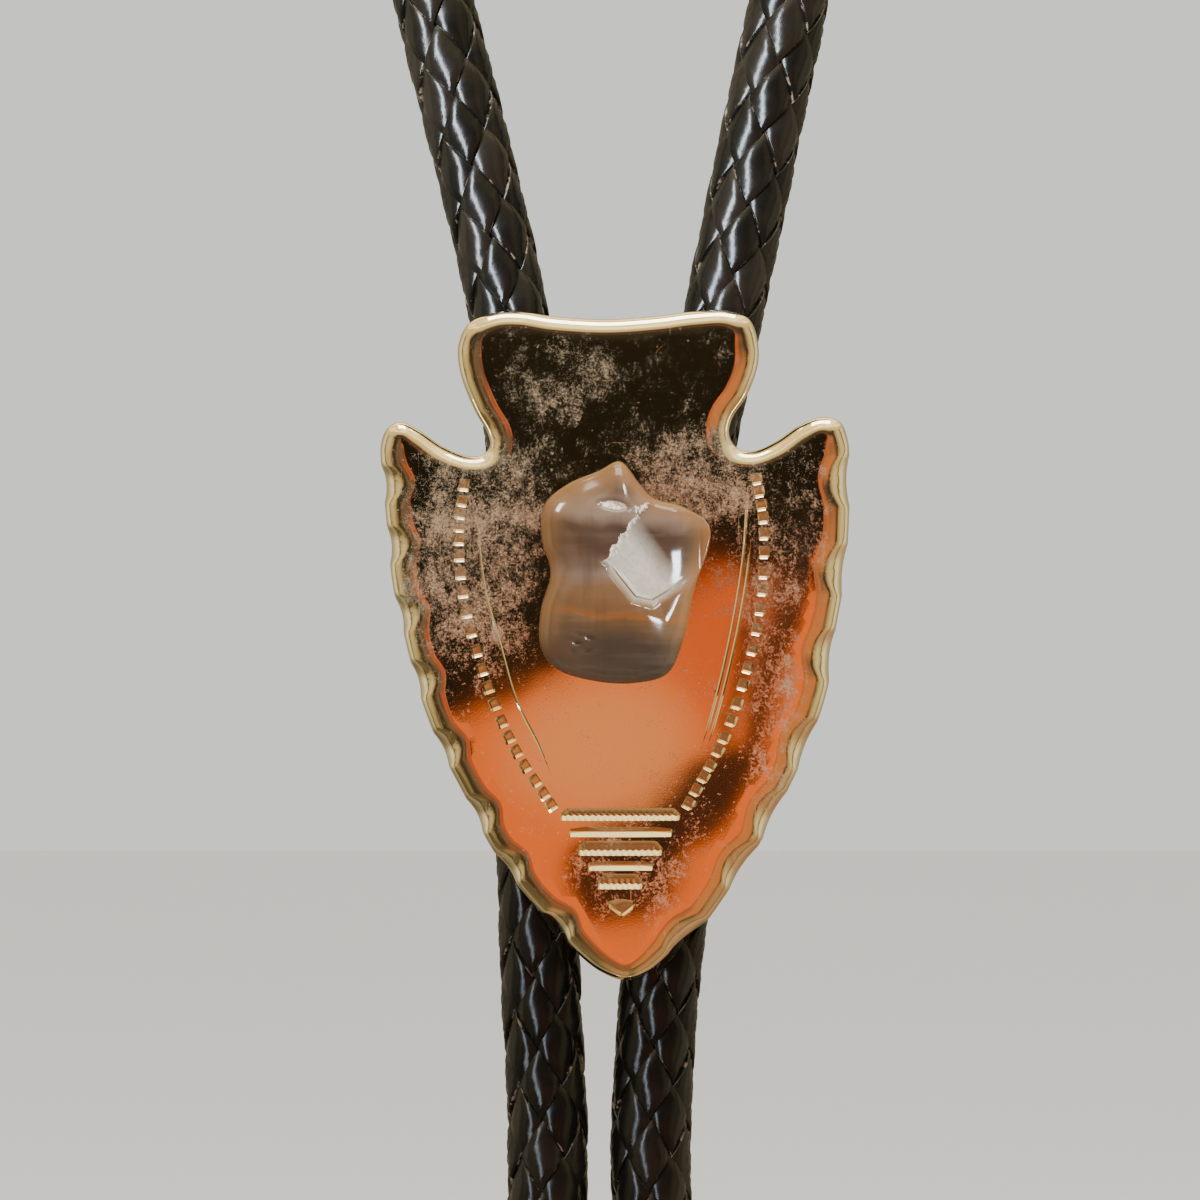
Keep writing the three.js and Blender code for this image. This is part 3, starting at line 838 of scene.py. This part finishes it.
# The clip in the hollow back: plain spring steel, nickel plated and brushed along its length. It is a
# node of the frame, which keeps its own shape.
nickel = Finish.material("clip_steel")
spot = nickel.place()
brushed = nickel.noise(nickel.stretched(spot, (3000, 3000, 90)), 1.0, 3.0)
clip_steel = nickel.surface(
    Base_Color=nickel.mix(brushed, (0.55, 0.53, 0.49), (0.72, 0.70, 0.66)),
    Metallic=1.0,
    Roughness=(brushed * 0.2 + 0.24).limited(),
    Normal=nickel.bump(brushed, 0.02, 0.3),
)
refinish("cord_clip", clip_steel)

# The stone: a tumbled chip of banded agate, glued on the face, with one fresh fracture on its right
# shoulder and a pitted nick above it
stone_width = 13.1
stone_height = 16.9
stone_thickness = 4.6
stone_edge = 1.6
stone_gap = 0.3
stone_place = (0.023, 0.11)
stone_sides = 220
stone_rings = 90
shoulder_rings = 16
stone_outline = [
    (-0.035, 0.5), (0.08, 0.4), (0.16, 0.335), (0.335, 0.295), (0.485, 0.21), (0.48, 0.11),
    (0.405, -0.06), (0.335, -0.31), (0.245, -0.457), (0.065, -0.5), (-0.175, -0.493),
    (-0.41, -0.434), (-0.497, -0.335), (-0.497, -0.175), (-0.44, 0), (-0.49, 0.15),
    (-0.475, 0.305), (-0.345, 0.395), (-0.16, 0.457),
]

# The fracture's corners and those of the older, smoothed one below it, from the stone's middle
fracture_corners = np.array([
    (1.45, 5.1), (-1.55, 0.75), (0.62, -2.0), (2.0, -2.3), (3.95, -1.15), (6.4, 0.3), (6.6, 3.6),
    (4.6, 5.2),
])
bevel_corners = np.array([
    (-1.9, 1.1), (-1.2, -0.2), (1.2, -2.95), (3.0, -3.5), (4.5, -1.4), (5.2, 2.0), (2.0, 6.0),
])


def within(corners, x, y):
    """How far a place lies inside a convex outline that runs anticlockwise: its least distance to
    the lines of its sides, below 0 outside."""
    ahead = np.roll(corners, -1, 0) - corners
    ahead = ahead / np.linalg.norm(ahead, axis=1, keepdims=True)
    gaps = [a[0] * (y - c[1]) - a[1] * (x - c[0]) for a, c in zip(ahead, corners)]
    return np.min(gaps, axis=0)


def ripple(x, y, size, seed):
    """Smooth unevenness between -1 and 1: six waves of about one size in chance directions, averaged."""
    chance = np.random.default_rng(seed)
    turns, phases, paces = (chance.uniform(*span, 6) for span in ((0, 6.28), (0, 6.28), (0.7, 1.5)))
    total = 0
    for turn, phase, pace in zip(turns, phases, paces):
        total = total + np.sin((x * math.cos(turn) + y * math.sin(turn)) * 6.28 * pace / size + phase)
    return total / 3.2


def dome(out):
    """The stone's height: its edge's, and a rise of the square root of 1 - out ** 2.6 inside it."""
    return stone_edge + (stone_thickness - stone_edge) * np.sqrt(np.clip(1 - out**2.6, 0, 1))


def stone_rise(x, y, out):
    """The stone's height over its base, and how frosted, chipped and cracked it is.

    A dome falls towards the edge and is tumbled uneven. A fresh fracture cuts a facet into its right
    shoulder, with a ragged step on the left and a worn, rounded one below, and a nick lies above it.
    """
    rise = dome(out) + 0.10 * ripple(x, y, 7.0, 3) * (1 - out**4)
    rise = rise - 0.22 * np.exp(-(((x + 5.0) / 1.0) ** 2 + ((y - 0.5) / 2.0) ** 2))
    bevel = within(bevel_corners, x, y)
    bevel = np.clip((bevel + 0.4) / 1.7, 0, 1)
    rise = rise - 0.38 * bevel * bevel * (3 - 2 * bevel) * np.clip((1.2 - y) / 1.5, 0, 1)
    worn = np.clip((1.0 - y) / 1.2, 0, 1)
    ragged = 0.12 * ripple(x, y, 1.1, 5) + 0.06 * ripple(x, y, 0.45, 6)
    inside = within(fracture_corners, x, y) + ragged * (1 - worn)
    soft = 0.09 + 0.42 * worn
    step = np.clip((inside / soft + 1) / 2, 0, 1)
    step = step * step * (3 - 2 * step)
    floor = 3.62 - 0.05 * (x - 1.5) + 0.03 * y + 0.05 * ripple(x, y, 3.2, 8)
    floor = floor - 0.13 * np.clip(x - 2.6, 0, 3) ** 2 - 0.03 * (y - 0.3) ** 2
    rise = rise * (1 - step) + np.minimum(rise, floor) * step
    lip = np.exp(-((inside + 0.03) / 0.11) ** 2)
    lip = lip * np.clip((2.0 - x) / 0.6, 0, 1) * np.clip((y - 0.5) / 0.5, 0, 1)
    fade = np.clip((3.1 - 0.75 * x - 0.55 * y) / 1.7, 0.0, 1)
    frost = step * fade
    nick = np.exp(-((((x + 0.95) / 1.0) ** 2 + ((y - 4.95 + 0.12 * x) / 0.36) ** 2) ** 2))
    rise = rise - 0.40 * nick + 0.09 * lip * ripple(x, y, 0.5, 9)
    pits = np.exp(-((((x + 3.4) / 1.0) ** 2 + ((y + 5.5) / 0.9) ** 2) ** 2))
    rise = rise - 0.30 * pits * np.clip(ripple(x, y, 0.9, 12), 0, 1)
    chipped = np.clip(lip + nick * np.clip(0.9 + 0.3 * ripple(x, y, 0.7, 10), 0, 1), 0, 1)
    crack = np.exp(-(((inside - 0.16) / 0.06) ** 2)) * worn * np.clip((3.9 - x) / 0.8, 0, 1)
    return rise - 0.05 * crack, frost, chipped, crack


rim = smooth_curve(np.array(stone_outline) * (stone_width, stone_height), count=stone_sides, closed=True)
shoulder = np.sin(np.linspace(math.asin(0.905), math.pi / 2, shoulder_rings))
out = np.concatenate([np.linspace(0.01, 0.9, stone_rings - shoulder_rings), shoulder])[:, None]
px = rim[None, :, 0] * out
py = rim[None, :, 1] * out
rise, frost, chipped, crack = stone_rise(px, py, out)
top = np.stack([px, py, rise], axis=-1)
underside = (
    (1.0, 0.9), (0.985, 0.35), (0.95, 0.0), (0.9, -stone_gap), (0.5, -stone_gap), (0.02, -stone_gap),
)
below = [np.column_stack([rim * inset, np.full(stone_sides, height)]) for inset, height in underside]
rings = np.concatenate([top, np.array(below)])
unpainted = np.zeros((len(below), stone_sides))
middle = on_slide(stone_place)
flat = rings.reshape(-1, 3) + (middle[0], middle[1], slide_depth + stone_gap)
caps = end_caps(0, len(rings), stone_sides)
stone = skin("agate_chip", hung(flat), grid_quads(len(rings), stone_sides), caps, sharp=70)
for attribute, values in (("frosted", frost), ("chipped", chipped), ("cracked", crack)):
    paint(stone, attribute, np.concatenate([values, unpainted]).ravel())
paint(stone, "way_out", np.concatenate([np.broadcast_to(out, px.shape), unpainted + 1]).ravel())

# Grey-brown agate in soft level bands, polished by tumbling. Its thin edge, where it is clearer, has a
# painted warm glow of light shining through, and its left side is painted lighter and warmer where the
# light falls
agate = Finish.material("banded_agate")
spot = agate.place()
x, _, z = agate.split(spot)
height = (z - slide_centre[2] / 1000) * 1000
level = height + x * 60 + (agate.noise(spot, 210, 3.0) - 0.5) * 2.6
layer = ((level + 3.2) / 17.5).limited()
bands = agate.node("ShaderNodeValToRGB", {"stops": [
    (0.0, (0.052, 0.032, 0.022)), (0.10, (0.036, 0.025, 0.018)), (0.20, (0.038, 0.025, 0.017)),
    (0.255, (0.060, 0.034, 0.017)), (0.300, (0.085, 0.042, 0.018)), (0.315, (0.15, 0.050, 0.012)),
    (0.345, (0.10, 0.048, 0.020)), (0.43, (0.13, 0.064, 0.031)), (0.475, (0.14, 0.092, 0.066)),
    (0.54, (0.095, 0.057, 0.039)), (0.60, (0.050, 0.027, 0.017)), (0.70, (0.043, 0.024, 0.015)),
    (0.755, (0.14, 0.090, 0.063)), (0.81, (0.115, 0.070, 0.047)), (0.87, (0.078, 0.042, 0.028)),
    (1.0, (0.105, 0.047, 0.023)),
]}, {"Fac": layer})
thread = agate.noise(agate.stretched(spot, (160, 160, 1500), turn=(0, 0.06, 0)), 1.0, 3.0, 0.55)
veil = agate.noise(agate.stretched(spot, (900, 900, 90), turn=(0, 0.12, 0)), 1.0, 2.0)
body = agate.mix(thread.between(0.45, 0.75) * 0.16, bands, (0.16, 0.115, 0.085))
body = agate.mix(veil.between(0.50, 0.75) * 0.35, body, (0.030, 0.018, 0.011))
# Painted light: the body is made lighter and warmer towards the stone's left side, where the light falls
painted_left_light = 1.0 - (x * 1000).between(-6.0, -0.5)
body = agate.mix(painted_left_light * 0.35, body, (0.13, 0.062, 0.030))
# Painted light: a warm orange glow at the stone's thin edge, at mid height, standing for light showing
# through it
edge = agate.stored("way_out").between(0.70, 1.0) * height.between(-1.5, 3.0)
body = agate.mix(edge * 0.75, body, (0.19, 0.082, 0.028))
frosted = agate.stored("frosted")
chip = agate.stored("chipped")
cloudy = agate.noise(spot, 520, 3.0)
sugar = agate.noise(spot, 3200, 3.0, 0.7)
body = agate.mix(frosted * (sugar * 0.6 + 0.4), body, (0.50, 0.44, 0.35))
body = agate.mix(agate.stored("cracked").between(0.2, 0.7), body, (0.035, 0.016, 0.008))
crumbly = chip.between(0.25, 0.7) * (sugar.between(0.38, 0.58) * 0.7 + 0.3)
body = agate.mix(crumbly, body, (0.74, 0.64, 0.46))
glitter = agate.noise(spot, 5200, 2.0)
banded_agate = agate.surface(
    Base_Color=body,
    Roughness=(frosted * 0.22 + chip * 0.25 + cloudy * 0.10 + 0.07).limited(),
    Subsurface_Weight=0.06,
    Subsurface_Radius=(0.7, 0.5, 0.4),
    Subsurface_Scale=0.0012,
    Specular_IOR_Level=0.55,
    Normal=agate.bump(glitter * (frosted * 0.7 + chip) + cloudy * 0.4, 0.05, 0.35),
)
wear(stone, banded_agate)
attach(stone, "root")
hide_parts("stone")

# The room: a plain pale floor below the tips, a pale even light, and the darker and warmer things that
# a mirror of polished metal shows
floor_height = -420.0
floor_half = 3000.0
floor_mesh = bpy.data.meshes.new("floor")
floor_corners = [
    (x * floor_half / 1000, y * floor_half / 1000, floor_height / 1000)
    for x, y in ((-1, -1), (1, -1), (1, 1), (-1, 1))
]
floor_mesh.from_pydata(floor_corners, [], [(0, 1, 2, 3)])
floor = bpy.data.objects.new("floor", floor_mesh)
bpy.context.collection.objects.link(floor)
floor.visible_glossy = False
pale = Finish.material("pale_floor")
cloudy = pale.noise(pale.place(), 3, 2.0)
pale_colour = pale.mix(cloudy, (0.84, 0.83, 0.81), (0.86, 0.85, 0.83))
floor_mesh.materials.append(pale.surface(Base_Color=pale_colour, Roughness=0.8))

world = bpy.data.worlds.new("studio")
bpy.context.scene.world = world
world.use_nodes = True
room = Finish(world.node_tree)
way = room.node("ShaderNodeTexCoord", output="Generated")
x, y, z = room.split(way)
ahead = (0.0 - y).math("MAXIMUM", 0.05)
wander = room.noise(way, 55.0, 3.0, 0.55) - 0.5
waver = room.noise(room.stretched(way, (1, 1, 1), shift=(3, 3, 3)), 55.0, 3.0, 0.55) - 0.5

# What lies straight ahead of the face, in millimetres of the face that shows it
across = (x / ahead - 0.0025) / 0.0053 + wander * 2.4
up = (z / ahead + 0.0078) / 0.0037 + waver * 2.4


def thing(middle, size, turn, soft):
    """1 inside a soft oval ahead of the face, turned anticlockwise, and 0 outside."""
    cosine, sine = math.cos(math.radians(turn)), math.sin(math.radians(turn))
    dx, dy = across - middle[0], up - middle[1]
    along = (dx * cosine + dy * sine) / size[0]
    beside = (dy * cosine - dx * sine) / size[1]
    return 1.0 - (along * along + beside * beside).between(1 - soft, 1 + soft)


# A copper field below a slanting line, a dark one above it, and darker, deeper and paler things on it
frayed = room.noise(way, 260.0, 2.0) - 0.5
across = across + frayed * 1.5
up = up + frayed * 1.5
line = (across * 0.56 + 1.0).math("MINIMUM", 5.5)
copper = 1.0 - (up - line).between(-1.6, 1.2)
ahead_colour = room.mix(copper, (0.017, 0.013, 0.008), (1.0, 0.19, 0.035))
for middle, size, turn, soft, share, colour in (
    ((7.0, 1.0), (5.5, 4.0), 80, 0.9, 0.6, (0.70, 0.10, 0.02)),
    ((-1.1, -8.0), (7, 5.5), 0, 0.8, 0.75, (1.0, 0.36, 0.14)),
    ((5.6, -13.0), (7.6, 2.7), 43, 0.4, 0.98, (0.030, 0.016, 0.011)),
    ((0.7, -17.2), (4.7, 4.0), 20, 0.35, 0.98, (0.028, 0.016, 0.012)),
    ((12.7, 0.6), (9.5, 1.35), 77, 0.4, 0.95, (0.032, 0.022, 0.018)),
    ((10.1, 0.2), (8.5, 0.7), 79, 0.5, 0.9, (0.045, 0.028, 0.018)),
):
    ahead_colour = room.mix(thing(middle, size, turn, soft) * share, ahead_colour, colour)
away = (across * across * 0.0021).between(1.0, 1.5) * (1.0 - up.between(8.0, 14.0))
ahead_colour = room.mix(away * 0.9, ahead_colour, (0.72, 0.17, 0.05))

# What the rim sees, from straight ahead at 1 to straight behind at -1
turned = 0.0 - y
streak = room.noise(room.stretched(way, (3.0, 3.0, 6.0)), 1.0, 3.0)
round_colour = room.node("ShaderNodeValToRGB", {"stops": [
    (0.0, (0.30, 0.26, 0.16)), (0.30, (0.60, 0.52, 0.32)), (0.46, (1.15, 1.0, 0.66)),
    (0.535, (1.0, 0.86, 0.50)), (0.58, (0.08, 0.055, 0.025)), (0.63, (0.70, 0.56, 0.28)),
    (0.74, (0.88, 0.70, 0.36)), (0.83, (0.56, 0.40, 0.18)), (0.87, (0.06, 0.042, 0.025)),
    (0.90, (0.05, 0.035, 0.022)), (0.95, (0.20, 0.13, 0.08)), (1.0, (0.09, 0.065, 0.045)),
]}, {"Fac": (turned * 0.5 + 0.5 + (streak - 0.5) * 0.16).limited()})
patchy = streak.between(0.42, 0.58)
ember = turned.between(0.925, 0.97) * (1.0 - z.between(-0.06, 0.05) * (1.0 - patchy)) * (patchy * 0.4 + 0.6)
round_colour = room.mix(ember * 0.85, round_colour, (0.66, 0.13, 0.045))
straight = turned.between(0.982, 0.990)
seen = room.mix(straight, round_colour, ahead_colour)

# Low down it is dusky: warm near the middle, and darker where the sides of the rim and the punches look
dusk = 1.0 - z.between(-0.55, -0.12)
beside = x.between(0.06, 0.20) * (1.0 - x.between(0.30, 0.45)) + (0.0 - x).between(0.30, 0.50)
seen = room.mix(dusk * 0.75, seen, room.mix(beside, (0.36, 0.14, 0.058), (0.07, 0.046, 0.022)))
outer = (0.0 - x).between(0.35, 0.60) * (1.0 - z.between(-0.25, 0.10)) * turned.between(0.10, 0.30)
seen = room.mix(outer * (1.0 - patchy * 0.8) * 0.7, seen, (0.09, 0.065, 0.032))

# A copper glow to the right, a dark shelf above the level, gold over it and a bright patchy strip higher
glow = x.between(0.05, 0.25) * (1.0 - z.between(-0.10, 0.16)) * turned.between(0.72, 0.82)
seen = room.mix(glow * (1.0 - straight) * 0.8, seen, (0.80, 0.26, 0.08))
shade = z.between(0.06, 0.16) * (1.0 - z.between(0.30, 0.42)) * turned.between(0.5, 0.9)
seen = room.mix(shade * 0.8, seen, (0.065, 0.05, 0.035))
seen = room.mix(z.between(0.34, 0.50), seen, (0.95, 0.74, 0.34))
strip = z.between(0.56, 0.68) * (1.0 - z.between(0.90, 0.97))
seen = room.mix(strip, seen, room.mix(patchy, (1.35, 1.04, 0.46), (2.3, 1.95, 1.15)))

# Only a mirror sees all this. The eye sees a plain pale room, and dull surfaces get its even light.
mirrored = room.node("ShaderNodeLightPath", output="Is Glossy Ray")
looked_at = room.node("ShaderNodeLightPath", output="Is Camera Ray")
colour = room.mix(mirrored, (1.0, 0.99, 0.97), seen)
colour = room.mix(looked_at, colour, (0.94, 0.93, 0.91))
light = room.node("ShaderNodeBackground", None, {"Color": colour, "Strength": 1.0})
room.node("ShaderNodeOutputWorld", None, {"Surface": light})


def soft_light(name, place, size, power, colour, aim, only=()):
    """A rectangular studio light that faces a point, both in millimetres, and lights every piece or
    only some of them."""
    data = bpy.data.lights.new(name, "AREA")
    data.shape = "RECTANGLE"
    data.size, data.size_y = size[0] / 1000, size[1] / 1000
    data.energy = power
    data.color = colour
    lamp = bpy.data.objects.new(name, data)
    lamp.location = Vector(place) / 1000
    lamp.rotation_euler = (Vector(aim) - Vector(place)).to_track_quat("-Z", "Y").to_euler()
    bpy.context.collection.objects.link(lamp)
    if only:
        lit = bpy.data.collections.new(name)
        for piece in only:
            lit.objects.link(piece)
        lamp.light_linking.receiver_collection = lit


cord_aim = (0, -140, -250)
stone_aim = (0, -150, -265)
daylight = (0.80, 0.90, 1.0)
soft_light("overhead", (0, -250, 700), (700, 500), 9.0, (1.0, 0.97, 0.92), cord_aim)
soft_light("window", (-420, -900, -150), (150, 1100), 48.0, daylight, cord_aim, laces)
soft_light("low_window", (-420, -900, -200), (150, 1100), 8.0, daylight, cord_aim, tails)
soft_light("left_glint", (-560, -420, 190), (110, 230), 3.2, (1.0, 1.0, 1.0), stone_aim, [stone])
soft_light("right_glint", (340, -520, -290), (150, 100), 3.6, (0.85, 0.93, 1.0), stone_aim, [stone])
soft_light("upper_glint", (295, -504, 110), (150, 130), 2.6, (1.0, 1.0, 0.98), stone_aim, [stone])
